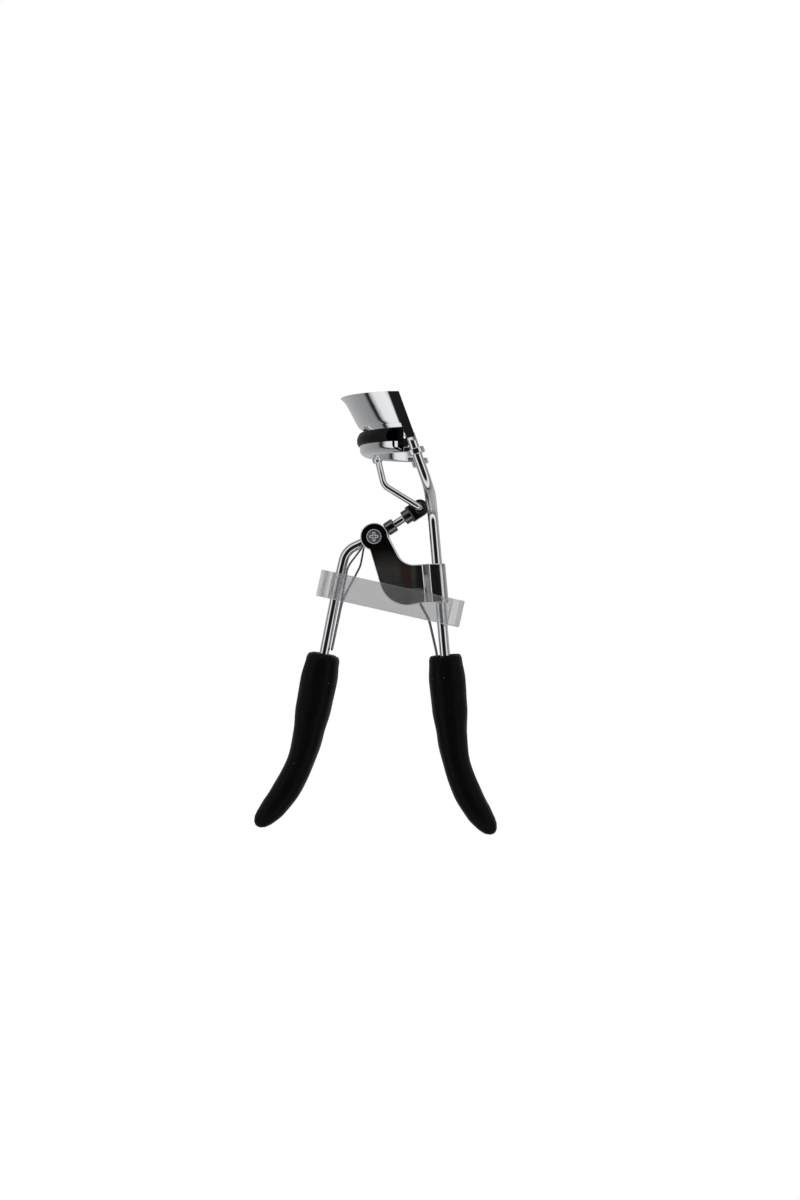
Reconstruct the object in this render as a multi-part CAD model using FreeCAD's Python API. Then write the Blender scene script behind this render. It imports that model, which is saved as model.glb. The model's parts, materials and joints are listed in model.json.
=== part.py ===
import FreeCAD, Part
import math
import os

# Eyelash curler, in millimetres. The symmetry plane is Y = 0 and +Z is up, with the jaws at the top.
# X runs from the moving handle (negative) to the fixed handle (positive), and -Y is the front.
# It is drawn from its own grip tips up, and moved at the end so that its box is centred over the origin.

V = FreeCAD.Vector

# Wire frame: two side rods that guide the lower jaw and run down into the fixed grip.
ROD_R = 1.2               # radius of the side rods and the handle rod
HEAD_TILT = 20.0          # lean of the rods' upper part from the vertical, in degrees
STEM_TILT = 5.0           # lean of the rods' lower part, in degrees
HEAD_Y = 15.6             # half the rods' spacing at the jaws
STEM_Y = 3.8              # half the rods' spacing in the stem
GUIDE_X = 10.6            # the rods' place where the guides sit
STEM_X = 17.2             # the stem's place at the height of the grips' tops
GUIDE_Z = 91.8            # height of the guides with the jaws at rest
SHOULDER_Z = 84.2         # height of the upper corner of the shoulder bend
NECK_Z = 78.3             # height of the lower corner of the shoulder bend
SHOULDER_BEND = 4.5       # bend radius of both shoulder corners
LAP_Z = 94.4              # the rods are filed flat above this height

# Upper jaw: a pressed plate with a folded cheek at each end.
PLATE_T = 0.75            # sheet thickness
PLATE_BOTTOM = 98.6       # height of the pressing edge
PLATE_TOP = 106.1         # height of the top edge
PLATE_CURL = 0.9          # height of the curled-in pressing edge
PLATE_LIP = 1.4           # height of the flared lip
EDGE_X = -3.4             # foremost point of the pressing edge
CURL_X = -4.3             # foremost point where the curl ends
FLARE_X = -7.1            # foremost point where the lip starts
LIP_X = -8.4              # foremost point of the lip
CHEEK_W = 2.3             # width of a cheek
CHEEK_BOTTOM = 96.3       # height where a cheek starts to taper
TAB_W = 1.5               # width of the tab at the cheek's lower end

# Lower jaw: a pressed channel that holds a silicone pad.
JAW_CENTRE_X = 13.0       # centre of the jaw's arc
PAD_OUTER_R = 17.4        # outer radius of the pad
PAD_W = 3.2               # width of the pad
PAD_H = 3.5               # height of the pad above its channel
JAW_GAP = 0.7             # gap between pad and plate at rest
FOOT_DEPTH = 2.0          # depth of the pad's foot in the channel
CHANNEL_T = 0.6           # sheet thickness of the channel
CHANNEL_INSET = 0.7       # the pad overhangs the channel's outer wall by this
CHANNEL_W = 2.8           # width of the channel
JAW_END_X = 7.6           # the channel and pad end here
CHEEK_CLEARANCE = 0.4     # gap between the jaw's ends and the cheeks
EYELET_R = 2.1            # outer radius of a guide's ring
EYELET_H = 1.4            # height of a guide
TONGUE_LAP = 1.7          # length of a guide's tongue along the end of the channel
SLIDE_FIT = 0.06          # radial clearance of a guide on its rod

# Lever, push rod and pivot.
PIVOT_Z = 72.2            # height of the pivot, which lies at X = 0
ARM_LENGTH = 13.2         # from the pivot to the push rod's hook
ARM_ANGLE = 33.0          # of the lever arm above the horizontal, in degrees
EYE_R = 2.1               # outer radius of the lever's eye
TANG_T = 1.4              # thickness of the flat that holds the eye
HOOK_PLAY = 0.4           # radial play of the hook in the eye
LINK_R = 0.8              # radius of the push rod's wire
LINK_BEND = 3.0           # bend radius of the push rod
LINK_TOP_X = 0.6          # where the push rod meets the channel
LINK_KNEE = (2.3, 84.8)   # corner of the push rod, X and Z
LINK_GAP = 0.1            # gap between the push rod and the lever's eye
FERRULE_R = 1.3           # radius of the ferrule on top of the push rod
FERRULE_H = 1.5           # height of that ferrule
KEEPER_R = 1.5            # radius of the keeper on the hook
KEEPER_T = 0.6            # thickness of that keeper
COIL_IN = ROD_R + 0.15    # from the symmetry plane to a coil's inner face; the handle rod runs between the coils
COIL_OUT = COIL_IN + 1.3  # from the symmetry plane to a coil's outer face
HUB_W = 2 * COIL_OUT + 0.2  # width of the lever's hub, which just exceeds the coils
BARREL_R = 2.0            # radius of the hub's barrels, which carry the spring's coils
DISC_R = 2.9              # radius of the hub's middle
DISC_T = 2 * COIL_IN - 0.2  # thickness of the hub's middle, between the coils
NECK_R = 0.95             # radius of the lever's neck
COLLAR = (3.3, 5.8, 1.7)  # the crimped collar's start, end and radius along the neck
BLOCK = (ARM_LENGTH - 4.8, ARM_LENGTH - 2.6, 1.75)  # the thick part's start, end and radius along the neck
SCREW_R = 0.95            # radius of the pivot screw's shank
SCREW_HEAD = (1.8, 0.9)   # radius and height of the screw's head
NUT = (1.7, 1.3)          # radius and height of the nut
PIVOT_FIT = 0.05          # radial clearance round the shank, and side play of the hub
WASHER = (2.4, 0.3)       # radius and thickness of a washer

# Bracket: one folded sheet that wraps both rods and ends in two pivot plates.
SHEET_T = 0.75            # sheet thickness
SHEET_FIT = 0.02          # clearance of the sheet on the rods
BOSS_R = 3.4              # radius round the pivot
BRACKET_TOP = 65.8        # height of the sleeve's top
BRACKET_BOTTOM = 56.3     # height of the sleeve's bottom
JOG_START = 3.4           # from the rods to the inner corner of the sheet's jog
JOG_END = 1.6             # from the rods to the outer corner of the jog

# Handles and grips: one grip moulding, used on both sides.
HANDLE_LINE = ((-1.35, 71.6), (-7.2, 68.9), (-9.3, 60.0), (-12.6, 43.3))  # X and Z of the rod's corners
HANDLE_BENDS = (5.0, 30.0)  # bend radii of the handle rod
GRIP_TOP = 43.3           # height of both grips' top faces at the rods
GRIP_STRAIGHT = 20.0      # straight length of a grip
GRIP_CURVE = 40.0         # radius of the curved part
SOCKET = 14.0             # depth of the rods in a grip
GRIP_SECTIONS = (         # distance along the grip, half width and half depth
    (0.0, 4.0, 5.6), (6.0, 4.5, 5.8), (13.0, 4.35, 5.7), (20.0, 3.7, 5.3), (27.0, 3.3, 5.0),
    (34.0, 3.4, 4.9), (40.0, 3.1, 4.4), (44.0, 2.3, 3.5), (45.8, 1.1, 2.0))

# Return spring: one wire with a coil on each side of the lever.
WIRE_R = 0.25             # radius of the spring's wire
COIL_R = 2.4              # radius of the coils to the wire's centre
LEVER_LEG_Y = 0.7         # half the spacing of the lever legs at their joined end
FRAME_LEG = ((9.6, 58.6), (13.3, 51.9), (15.1, 44.0))      # X and Z of the frame legs' corners
FRONT_LEVER_LEG = ((-3.3, 69.3), (-6.6, 65.0), (-8.1, 56.8))  # of the front leg that pushes the lever
REAR_LEVER_LEG = ((-3.7, 65.2), (-8.1, 56.8))                 # of the rear leg that pushes the lever
LEG_END_Z = 44.6          # height where the lever legs join
LEG_TUCK = 2.0            # depth of the frame legs in the fixed grip

# Retaining band round both handles, with a thick block at each end.
BAND_TILT = 12.5          # lean of the band from the horizontal, in degrees
BAND_CENTRE = (4.0, 57.2)   # X and Z of its middle
BAND_H = 6.5              # height
BAND_T = 0.5              # thickness of its front and back
BAND_BLOCK = 2.9          # thickness of its end blocks
BAND_GAP = 0.15           # gap between the blocks and the rods
BAND_SIDE_GAP = 0.15      # gap between the band and the bracket

PIVOT = V(0, 0, PIVOT_Z)
HEAD_UP = V(-math.sin(math.radians(HEAD_TILT)), 0, math.cos(math.radians(HEAD_TILT)))
STEM_DOWN = V(math.sin(math.radians(STEM_TILT)), 0, -math.cos(math.radians(STEM_TILT)))
ARM = V(math.cos(math.radians(ARM_ANGLE)), 0, math.sin(math.radians(ARM_ANGLE)))
HOOK = PIVOT + ARM * ARM_LENGTH
PAD_TOP = PLATE_BOTTOM - JAW_GAP
CHANNEL_TOP = PAD_TOP - PAD_H
CHANNEL_BOTTOM = CHANNEL_TOP - FOOT_DEPTH - CHANNEL_T
CHEEK_OUT = HEAD_Y + 0.15                  # outer face of a cheek
CHEEK_IN = CHEEK_OUT - PLATE_T             # inner face of a cheek
JAW_HALF = CHEEK_IN - CHEEK_CLEARANCE      # half the jaw's length
PLATES_IN = HUB_W / 2 + PIVOT_FIT + WASHER[1]  # inner face of a pivot plate
PLATES_OUT = PLATES_IN + SHEET_T
SLEEVE_IN = STEM_Y + ROD_R + SHEET_FIT
SLEEVE_OUT = SLEEVE_IN + SHEET_T
LINK_Y = -(TANG_T / 2 + LINK_GAP + LINK_R)  # plane of the push rod's lower run


def rod_x(z):
    """Where the side rods' upper part is at height z."""
    return GUIDE_X - (z - GUIDE_Z) * math.tan(math.radians(HEAD_TILT))


def stem_x(z):
    """Where the side rods' lower part is at height z."""
    return STEM_X - (z - GRIP_TOP) * math.tan(math.radians(STEM_TILT))


def prism(corners, low, high):
    """A flat outline of X, Z corners, from Y = low to Y = high."""
    face = Part.Face(Part.makePolygon([V(x, low, z) for x, z in corners + corners[:1]]))
    return face.extrude(V(0, high - low, 0))


def rod_y(radius, centre, low, high):
    """A cylinder along Y round a point, from Y = low to Y = high."""
    return Part.makeCylinder(radius, high - low, V(centre.x, low, centre.z), V(0, 1, 0))


def bar(radius, start, end):
    """A straight round bar."""
    return Part.makeCylinder(radius, (end - start).Length, start, end - start)


def bent_wire(radius, points, bends):
    """Round wire through the points, with one bend radius for each corner."""
    solids = []
    start = points[0]
    for before, corner, after, bend in zip(points, points[1:], points[2:], bends):
        back = (before - corner).normalize()
        ahead = (after - corner).normalize()
        half = back.getAngle(ahead) / 2
        reach = bend / math.tan(half)
        entry = corner + back * reach
        centre = corner + (back + ahead).normalize() * (bend / math.sin(half))
        solids.append(bar(radius, start, entry))
        ring = Part.Face(Part.Wire(Part.makeCircle(radius, entry, back)))
        turn = back.cross(ahead) * -1
        solids.append(ring.revolve(centre, turn, math.degrees(math.pi - 2 * half)))
        start = corner + ahead * reach
    solids.append(bar(radius, start, points[-1]))
    return solids[0].multiFuse(solids[1:]).removeSplitter()


def flip(shape):
    """The shape on the other side of the symmetry plane."""
    return shape.mirror(V(0, 0, 0), V(0, 1, 0))


def plate_section(z, tip_x):
    """Closed outline of the upper jaw's plate at height z, with its foremost point at tip_x."""
    fold = rod_x(z) - CHEEK_W / 2
    outer = Part.Arc(V(fold, -CHEEK_OUT, z), V(tip_x, 0, z), V(fold, CHEEK_OUT, z)).toShape()
    inner = Part.Arc(V(fold, CHEEK_IN, z), V(tip_x + PLATE_T, 0, z), V(fold, -CHEEK_IN, z)).toShape()
    rear_end = Part.makeLine(V(fold, CHEEK_OUT, z), V(fold, CHEEK_IN, z))
    front_end = Part.makeLine(V(fold, -CHEEK_IN, z), V(fold, -CHEEK_OUT, z))
    return Part.Wire([outer, rear_end, inner, front_end])


def upper_jaw_plate():
    """The curved plate and its two flat cheeks, which taper to tabs."""
    levels = ((PLATE_BOTTOM, EDGE_X), (PLATE_BOTTOM + PLATE_CURL, CURL_X),
              (PLATE_TOP - PLATE_LIP, FLARE_X), (PLATE_TOP, LIP_X))
    shell = Part.makeLoft([plate_section(z, x) for z, x in levels], True, True)
    half = CHEEK_W / 2
    tab = TAB_W / 2
    cheek = prism([(rod_x(PLATE_TOP) - half, PLATE_TOP), (rod_x(PLATE_TOP) + half, PLATE_TOP),
                   (rod_x(CHEEK_BOTTOM) + half, CHEEK_BOTTOM), (rod_x(LAP_Z) + tab, LAP_Z),
                   (rod_x(LAP_Z) - tab, LAP_Z), (rod_x(CHEEK_BOTTOM) - half, CHEEK_BOTTOM)],
                  -CHEEK_OUT, -CHEEK_IN)
    return shell.multiFuse([cheek, flip(cheek)]).removeSplitter()


def guide_rod():
    """The front side rod: filed flat under its tab, then shoulder, stem and the end in the grip."""
    top = CHEEK_BOTTOM - 0.2
    foot = V(STEM_X, -STEM_Y, GRIP_TOP) + STEM_DOWN * SOCKET
    points = [V(rod_x(top), -HEAD_Y, top), V(rod_x(SHOULDER_Z), -HEAD_Y, SHOULDER_Z),
              V(stem_x(NECK_Z), -STEM_Y, NECK_Z), foot]
    wire = bent_wire(ROD_R, points, [SHOULDER_BEND, SHOULDER_BEND])
    width = 4 * ROD_R
    lap = Part.makeBox(2 * width, width, width, V(rod_x(LAP_Z) - width, -CHEEK_IN - width, LAP_Z))
    return wire.cut(lap)


def jaw_ring(outline):
    """Sweeps an outline of radius, Z corners round the jaw's arc, and trims both ends."""
    corners = [V(JAW_CENTRE_X - r, 0, z) for r, z in outline]
    face = Part.Face(Part.makePolygon(corners + corners[:1]))
    sweep = 75.0
    axis = V(JAW_CENTRE_X, 0, 0)
    ring = face.rotated(axis, V(0, 0, 1), -sweep).revolve(axis, V(0, 0, 1), 2 * sweep)
    reach = 2 * PAD_OUTER_R
    ends = Part.makeBox(reach, 2 * JAW_HALF, 2 * PLATE_TOP, V(JAW_END_X - reach, -JAW_HALF, 0))
    return ring.common(ends)


def pad_carrier():
    """The lower jaw's channel, with its lower outer edge rounded off."""
    outer = PAD_OUTER_R - CHANNEL_INSET
    inner = outer - CHANNEL_W
    floor = CHANNEL_BOTTOM + CHANNEL_T
    body = jaw_ring([(outer, CHANNEL_TOP), (outer - 0.15, CHANNEL_BOTTOM + 1.3),
                     (outer - 0.7, CHANNEL_BOTTOM + 0.4), (outer - 1.4, CHANNEL_BOTTOM),
                     (inner, CHANNEL_BOTTOM), (inner, CHANNEL_TOP)])
    groove = jaw_ring([(outer - CHANNEL_T, CHANNEL_TOP + 1), (outer - CHANNEL_T, CHANNEL_BOTTOM + 1.3),
                       (outer - 0.7 - CHANNEL_T, floor), (inner + CHANNEL_T, floor),
                       (inner + CHANNEL_T, CHANNEL_TOP + 1)])
    return body.cut(groove)


def silicone_pad():
    """The pad: a foot in the channel and a wider head with rounded edges and a low crest."""
    outer = PAD_OUTER_R
    inner = outer - PAD_W
    foot_out = outer - CHANNEL_INSET - CHANNEL_T
    foot_in = outer - CHANNEL_INSET - CHANNEL_W + CHANNEL_T
    floor = CHANNEL_BOTTOM + CHANNEL_T
    return jaw_ring([(foot_out, CHANNEL_TOP), (outer - 0.4, CHANNEL_TOP), (outer, CHANNEL_TOP + 0.6),
                     (outer, PAD_TOP - 1.5), (outer - 0.7, PAD_TOP - 0.5), (outer - 1.4, PAD_TOP),
                     (inner + 0.5, PAD_TOP), (inner, PAD_TOP - 0.6), (inner, CHANNEL_TOP),
                     (foot_in, CHANNEL_TOP), (foot_in, floor), (foot_out - 0.7, floor),
                     (foot_out, CHANNEL_BOTTOM + 1.3)])


def guide():
    """The front guide: a ring on the side rod and a tongue that meets the channel's end."""
    centre = V(GUIDE_X, -HEAD_Y, GUIDE_Z)
    base = centre - HEAD_UP * (EYELET_H / 2)
    ring = Part.makeCylinder(EYELET_R, EYELET_H, base, HEAD_UP)
    channel_r = PAD_OUTER_R - CHANNEL_INSET
    channel_end = math.sqrt(channel_r ** 2 - (JAW_CENTRE_X - JAW_END_X) ** 2)
    tongue_in = min(JAW_HALF, channel_end) - TONGUE_LAP
    tongue = Part.makeBox(GUIDE_X - JAW_END_X, JAW_HALF - tongue_in, 1.2,
                          V(JAW_END_X, -JAW_HALF, CHANNEL_BOTTOM))
    reach = HEAD_UP * (3 * EYELET_H)
    bore = Part.makeCylinder(ROD_R + SLIDE_FIT, reach.Length * 2, centre - reach, HEAD_UP)
    return ring.fuse(tongue).removeSplitter().cut(bore)


def push_rod():
    """The bent wire from the channel to the lever, with its lower end hooked through the eye."""
    top = V(LINK_TOP_X, 0, CHANNEL_BOTTOM)
    knee = V(LINK_KNEE[0], LINK_Y, LINK_KNEE[1])
    turn = V(HOOK.x, LINK_Y, HOOK.z)
    end = V(HOOK.x, TANG_T / 2 + 2 * LINK_GAP + KEEPER_T + 0.3, HOOK.z)
    wire = bent_wire(LINK_R, [top, knee, turn, end], [LINK_BEND, LINK_R * 1.15])
    above = Part.makeBox(6, 6, 3, V(LINK_TOP_X - 3, -3, CHANNEL_BOTTOM))
    return wire.cut(above)


def push_rod_ferrule(link):
    """The short bulged collar where the push rod meets the channel."""
    low = V(LINK_TOP_X, 0, CHANNEL_BOTTOM - FERRULE_H)
    middle = V(LINK_TOP_X, 0, CHANNEL_BOTTOM - FERRULE_H / 2)
    lower = Part.makeCone(FERRULE_R * 0.8, FERRULE_R, FERRULE_H / 2, low)
    upper = Part.makeCone(FERRULE_R, FERRULE_R * 0.85, FERRULE_H / 2, middle)
    return lower.fuse(upper).cut(link)


def link_keeper():
    """The push-on ring that holds the hook in the eye."""
    start = TANG_T / 2 + LINK_GAP
    ring = rod_y(KEEPER_R, HOOK, start, start + KEEPER_T)
    return ring.cut(rod_y(LINK_R, HOOK, start, start + KEEPER_T))


def handle_rod():
    """The moving handle's rod, from the hub to the end in its grip."""
    corners = [V(x, 0, z) for x, z in HANDLE_LINE]
    down = (corners[-1] - corners[-2]).normalize()
    return bent_wire(ROD_R, corners[:-1] + [corners[-1] + down * SOCKET], HANDLE_BENDS)


def lever_arm(rod):
    """Hub, neck, thick part and flat eye in one piece, with a socket for the handle rod."""
    disc = rod_y(DISC_R, PIVOT, -DISC_T / 2, DISC_T / 2)
    barrels = rod_y(BARREL_R, PIVOT, -HUB_W / 2, HUB_W / 2)
    neck = bar(NECK_R, PIVOT + ARM * BARREL_R, PIVOT + ARM * BLOCK[1])
    block = bar(BLOCK[2], PIVOT + ARM * BLOCK[0], PIVOT + ARM * BLOCK[1])
    side = V(-ARM.z, 0, ARM.x) * EYE_R
    root = PIVOT + ARM * (BLOCK[1] - 0.6)
    corners = [(p.x, p.z) for p in (root - side, HOOK - side, HOOK + side, root + side)]
    tang = prism(corners, -TANG_T / 2, TANG_T / 2)
    eye = rod_y(EYE_R, HOOK, -TANG_T / 2, TANG_T / 2)
    arm = disc.multiFuse([barrels, neck, block, tang, eye]).removeSplitter()
    arm = arm.cut(rod_y(SCREW_R + PIVOT_FIT, PIVOT, -HUB_W, HUB_W))
    arm = arm.cut(rod_y(LINK_R + HOOK_PLAY, HOOK, -HUB_W, HUB_W))
    return arm.cut(rod)


def lever_collar():
    """The collar crimped on the lever's neck, next to the hub."""
    start, end, radius = COLLAR
    ring = bar(radius, PIVOT + ARM * start, PIVOT + ARM * end)
    return ring.cut(bar(NECK_R, PIVOT, PIVOT + ARM * BLOCK[1]))


def bracket_outline():
    """The bracket's outline from the side: a boss at the pivot, an arm, and the sleeve's two ends."""
    right = stem_x(BRACKET_BOTTOM) + 3 * ROD_R
    left = stem_x(BRACKET_TOP) - JOG_START
    boss = Part.Face(Part.Wire(Part.makeCircle(BOSS_R, PIVOT, V(0, 1, 0))))
    points = [V(-1.2, 0, PIVOT_Z - 2.6), V(0.2, 0, PIVOT_Z - 7.4), V(1.7, 0, BRACKET_BOTTOM + 3.5),
              V(4.0, 0, BRACKET_BOTTOM + 0.5), V(8.2, 0, BRACKET_BOTTOM - 0.9),
              V(left + 1.0, 0, BRACKET_BOTTOM), V(right, 0, BRACKET_BOTTOM - 0.2),
              V(right, 0, BRACKET_TOP), V(left - 2.4, 0, BRACKET_TOP - 0.4),
              V(left - 4.4, 0, BRACKET_TOP + 0.2), V(left - 5.9, 0, BRACKET_TOP + 1.6),
              V(BOSS_R, 0, PIVOT_Z)]
    line = Part.makeLine
    edges = [line(points[0], points[1]), line(points[1], points[2]),
             Part.Arc(points[2], points[3], points[4]).toShape(),
             line(points[4], points[5]), line(points[5], points[6]), line(points[6], points[7]),
             line(points[7], points[8]), Part.Arc(points[8], points[9], points[10]).toShape(),
             line(points[10], points[11]), line(points[11], points[0])]
    depth = V(0, 4 * SLEEVE_OUT, 0)
    solid = Part.Face(Part.Wire(edges)).extrude(depth).fuse(boss.extrude(depth))
    return solid.translated(depth * -0.5)


def sheet_profile(offset):
    """One face of the folded sheet, seen along the stem: plate, jog, bend round both rods, and back."""
    far = stem_x(BRACKET_TOP) + 2 * BOSS_R
    plate = PLATES_IN + offset
    sleeve = SLEEVE_IN + offset
    bend = ROD_R + SHEET_FIT + offset
    jog = math.atan2(SLEEVE_IN - PLATES_IN, JOG_START - JOG_END)
    shift = (SHEET_T / 2 - offset) * math.tan(jog / 2)
    round_x = bend * math.sqrt(0.5)
    round_y = STEM_Y + bend * math.sqrt(0.5)
    line = Part.makeLine
    front = [V(-far, -plate, 0), V(shift - JOG_START, -plate, 0), V(shift - JOG_END, -sleeve, 0),
             V(0, -sleeve, 0), V(bend, -STEM_Y, 0)]
    rear = [V(p.x, -p.y, 0) for p in front]
    return [line(front[0], front[1]), line(front[1], front[2]), line(front[2], front[3]),
            Part.Arc(front[3], V(round_x, -round_y, 0), front[4]).toShape(), line(front[4], rear[4]),
            Part.Arc(rear[4], V(round_x, round_y, 0), rear[3]).toShape(),
            line(rear[3], rear[2]), line(rear[2], rear[1]), line(rear[1], rear[0])]


def open_side(offset):
    """The line that closes a sheet profile on its open side."""
    far = stem_x(BRACKET_TOP) + 2 * BOSS_R
    return Part.makeLine(V(-far, PLATES_IN + offset, 0), V(-far, -PLATES_IN - offset, 0))


def bracket():
    """The folded sheet, cut to its outline and drilled for the pivot screw."""
    outer = Part.Face(Part.Wire(sheet_profile(SHEET_T) + [open_side(SHEET_T)]))
    inner = Part.Face(Part.Wire(sheet_profile(0) + [open_side(0)]))
    length = 2 * PLATE_TOP
    sheet = outer.extrude(V(0, 0, length)).cut(inner.extrude(V(0, 0, length)))
    sheet.translate(V(0, 0, -length / 2))
    sheet.rotate(V(0, 0, 0), V(0, 1, 0), -STEM_TILT)
    sheet.translate(V(stem_x(BRACKET_TOP), 0, BRACKET_TOP))
    folded = sheet.common(bracket_outline())
    return folded.cut(rod_y(SCREW_R + PIVOT_FIT, PIVOT, -2 * SLEEVE_OUT, 2 * SLEEVE_OUT))


def pivot_screw():
    """Shank and round head with a cross recess, put in from the front."""
    radius, height = SCREW_HEAD
    shank = rod_y(SCREW_R, PIVOT, -PLATES_OUT, PLATES_OUT + NUT[1] + 0.3)
    head = rod_y(radius, PIVOT, -PLATES_OUT - height, -PLATES_OUT)
    long, wide = radius * 1.1, radius * 0.25
    face = -PLATES_OUT - height
    slot = Part.makeBox(long, height, wide, V(-long / 2, face, PIVOT_Z - wide / 2))
    cross = Part.makeBox(wide, height, long, V(-wide / 2, face, PIVOT_Z - long / 2))
    recess = slot.fuse(cross).common(rod_y(radius, PIVOT, face, face + height / 2))
    return shank.fuse(head).removeSplitter().cut(recess)


def pivot_nut():
    """Round nut on the rear plate."""
    radius, height = NUT
    body = rod_y(radius, PIVOT, PLATES_OUT, PLATES_OUT + height)
    return body.cut(rod_y(SCREW_R, PIVOT, PLATES_OUT, PLATES_OUT + height))


def washer():
    """The front washer, between the pivot plate and the hub."""
    radius, thickness = WASHER
    low = -PLATES_IN
    ring = rod_y(radius, PIVOT, low, low + thickness)
    return ring.cut(rod_y(SCREW_R + PIVOT_FIT, PIVOT, low, low + thickness))


def return_spring():
    """Two coil envelopes, two legs to the fixed grip, and two legs joined on the moving side."""
    coil = rod_y(COIL_R + WIRE_R, PIVOT, -COIL_OUT, -COIL_IN)
    coil = coil.cut(rod_y(COIL_R - WIRE_R, PIVOT, -COIL_OUT, -COIL_IN))
    frame_y = COIL_OUT - WIRE_R
    lever_y = COIL_IN + WIRE_R
    start = PIVOT + V(-COIL_R * 0.75, 0, -COIL_R * 0.66)
    down = STEM_DOWN * (LEG_TUCK + FRAME_LEG[-1][1] - GRIP_TOP)
    frame_points = [V(start.x, -frame_y, start.z)] + [V(x, -frame_y, z) for x, z in FRAME_LEG]
    frame_points.append(frame_points[-1] + down)
    frame_leg = bent_wire(WIRE_R, frame_points, (6.0, 8.0, 3.0))
    left = PIVOT + V(-COIL_R, 0, 0)
    low_x = handle_x(LEG_END_Z) + ROD_R + 2 * WIRE_R
    front = [V(left.x, -lever_y, left.z)] + [V(x, -lever_y, z) for x, z in FRONT_LEVER_LEG]
    rear = [V(start.x, lever_y, start.z)] + [V(x, lever_y, z) for x, z in REAR_LEVER_LEG]
    ends = [V(low_x, -LEVER_LEG_Y, LEG_END_Z), V(low_x, LEVER_LEG_Y, LEG_END_Z)]
    whole = bent_wire(WIRE_R, front + ends + rear[::-1],
                      (2.0, 6.0, 12.0, 0.55, 0.55, 12.0, 6.0))
    return coil.multiFuse([flip(coil), frame_leg, flip(frame_leg), whole])


def handle_x(z):
    """Where the handle rod's lower run is at height z."""
    (top_x, top_z), (low_x, low_z) = HANDLE_LINE[-2:]
    return top_x + (z - top_z) * (low_x - top_x) / (low_z - top_z)


def grip(top, down, outward):
    """A grip's solid, from the middle of its top face along down, curling outward."""
    wires = []
    for reach, half, depth in GRIP_SECTIONS:
        turn = max(0.0, reach - GRIP_STRAIGHT) / GRIP_CURVE
        along = min(reach, GRIP_STRAIGHT) + GRIP_CURVE * math.sin(turn)
        aside = GRIP_CURVE * (1 - math.cos(turn))
        centre = top + down * along + outward * aside
        across = outward * math.cos(turn) - down * math.sin(turn)
        major = centre + V(0, depth, 0)
        minor = centre + across * half
        wires.append(Part.Wire(Part.Ellipse(major, minor, centre).toShape()))
    return Part.makeLoft(wires, True, False)


def moving_grip(rod):
    """The grip on the handle rod."""
    (top_x, top_z), (low_x, low_z) = HANDLE_LINE[-2:]
    down = V(low_x - top_x, 0, low_z - top_z).normalize()
    return grip(V(low_x, 0, low_z), down, V(down.z, 0, -down.x)).cut(rod)


def fixed_grip(rods, spring):
    """The grip on the two side rods, with the spring's frame legs tucked into its top."""
    body = grip(V(STEM_X, 0, GRIP_TOP), STEM_DOWN, V(-STEM_DOWN.z, 0, STEM_DOWN.x))
    return body.cut(rods[0]).cut(rods[1]).cut(spring)


def retaining_band():
    """The flat loop round both handles, built level and then tilted."""
    lean = math.radians(BAND_TILT)
    centre = V(BAND_CENTRE[0], 0, BAND_CENTRE[1])
    along = V(math.cos(lean), 0, -math.sin(lean))
    rise = V(math.sin(lean), 0, math.cos(lean))
    (knee_x, knee_z), (top_x, top_z) = HANDLE_LINE[1:3]
    upper_z = BAND_CENTRE[1] + BAND_H
    upper_x = top_x + (upper_z - top_z) * (knee_x - top_x) / (knee_z - top_z)
    lefts = [V(upper_x, 0, upper_z), V(handle_x(BAND_CENTRE[1]), 0, BAND_CENTRE[1])]
    left = min((p - centre).dot(along) for p in lefts) - ROD_R - BAND_GAP
    low = centre - rise * (BAND_H / 2) + along * (STEM_X - centre.x)
    reach = V(stem_x(low.z) + ROD_R, 0, low.z)
    right = (reach - centre).dot(along) + BAND_GAP
    half_in = SLEEVE_OUT + BAND_SIDE_GAP
    half_out = half_in + BAND_T
    outer = Part.makeBox(right - left + 2 * BAND_BLOCK, 2 * half_out, BAND_H,
                         V(left - BAND_BLOCK, -half_out, -BAND_H / 2))
    corners = [e for e in outer.Edges if abs(e.tangentAt(e.FirstParameter).z) > 0.9]
    outer = outer.makeFillet(1.2, corners)
    inner = Part.makeBox(right - left, 2 * half_in, 2 * BAND_H, V(left, -half_in, -BAND_H))
    band = outer.cut(inner)
    band.rotate(V(0, 0, 0), V(0, 1, 0), BAND_TILT)
    return band.translated(centre)


def build():
    """Every node by name."""
    front_rod = guide_rod()
    rear_rod = flip(front_rod)
    spring = return_spring()
    handle = handle_rod()
    front_guide = guide()
    link = push_rod()
    return {
        "upper_jaw_plate": upper_jaw_plate(),
        "guide_rod_front": front_rod,
        "guide_rod_rear": rear_rod,
        "bracket": bracket(),
        "pivot_screw": pivot_screw(),
        "pivot_nut": pivot_nut(),
        "washer_front": washer(),
        "washer_rear": flip(washer()),
        "return_spring": spring,
        "retaining_band": retaining_band(),
        "fixed_grip": fixed_grip([front_rod, rear_rod], spring),
        "lever_arm": lever_arm(handle),
        "lever_collar": lever_collar(),
        "handle_rod": handle,
        "moving_grip": moving_grip(handle),
        "pad_carrier": pad_carrier(),
        "silicone_pad": silicone_pad(),
        "guide_front": front_guide,
        "guide_rear": flip(front_guide),
        "push_rod": link,
        "push_rod_ferrule": push_rod_ferrule(link),
        "link_keeper": link_keeper(),
    }


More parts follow.
